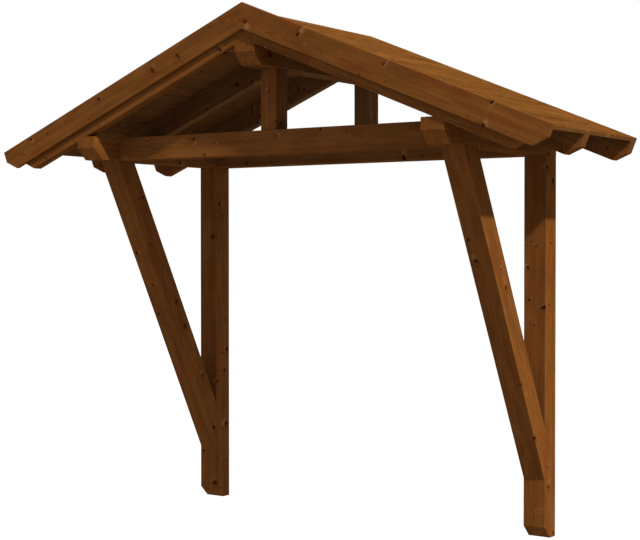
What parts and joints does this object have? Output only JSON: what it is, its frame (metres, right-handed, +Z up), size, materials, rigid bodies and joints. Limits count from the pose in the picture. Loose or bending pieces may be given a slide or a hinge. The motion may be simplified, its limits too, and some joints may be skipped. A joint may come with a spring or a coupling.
{
  "type": "timber door canopy",
  "caption": "Open timber door canopy: wall posts and diagonal struts carry purlins, tie beams with king posts, rafters, verge boards and a boarded gable roof.",
  "frame": {"origin": "middle of the rear tie beam's back face, on the wall plane", "axes": "+X to the right seen from the front, +Y into the wall, +Z up; the front faces -Y"},
  "size_m": [2.756, 0.968, 2.2144],
  "materials": {
    "post_timber": "walnut-stained planed softwood, satin",
    "strut_timber": "walnut-stained planed softwood, satin",
    "beam_timber": "walnut-stained planed softwood, satin",
    "rafter_timber": "walnut-stained planed softwood, satin",
    "verge_timber": "walnut-stained planed softwood, satin",
    "roof_boarding": "walnut-stained softwood boards, satin"
  },
  "bodies": {
    "root": {"left_wall_post": "post_timber", "right_wall_post": "post_timber", "left_strut": "strut_timber", "right_strut": "strut_timber", "left_purlin": "beam_timber", "right_purlin": "beam_timber", "ridge_purlin": "beam_timber", "front_tie_beam": "beam_timber", "rear_tie_beam": "beam_timber", "front_king_post": "post_timber", "rear_king_post": "post_timber", "left_front_rafter": "rafter_timber", "right_front_rafter": "rafter_timber", "left_middle_rafter": "rafter_timber", "right_middle_rafter": "rafter_timber", "left_rear_rafter": "rafter_timber", "right_rear_rafter": "rafter_timber", "left_verge_board": "verge_timber", "right_verge_board": "verge_timber", "left_roof_deck": "roof_boarding", "right_roof_deck": "roof_boarding"}
  },
  "joints": []
}
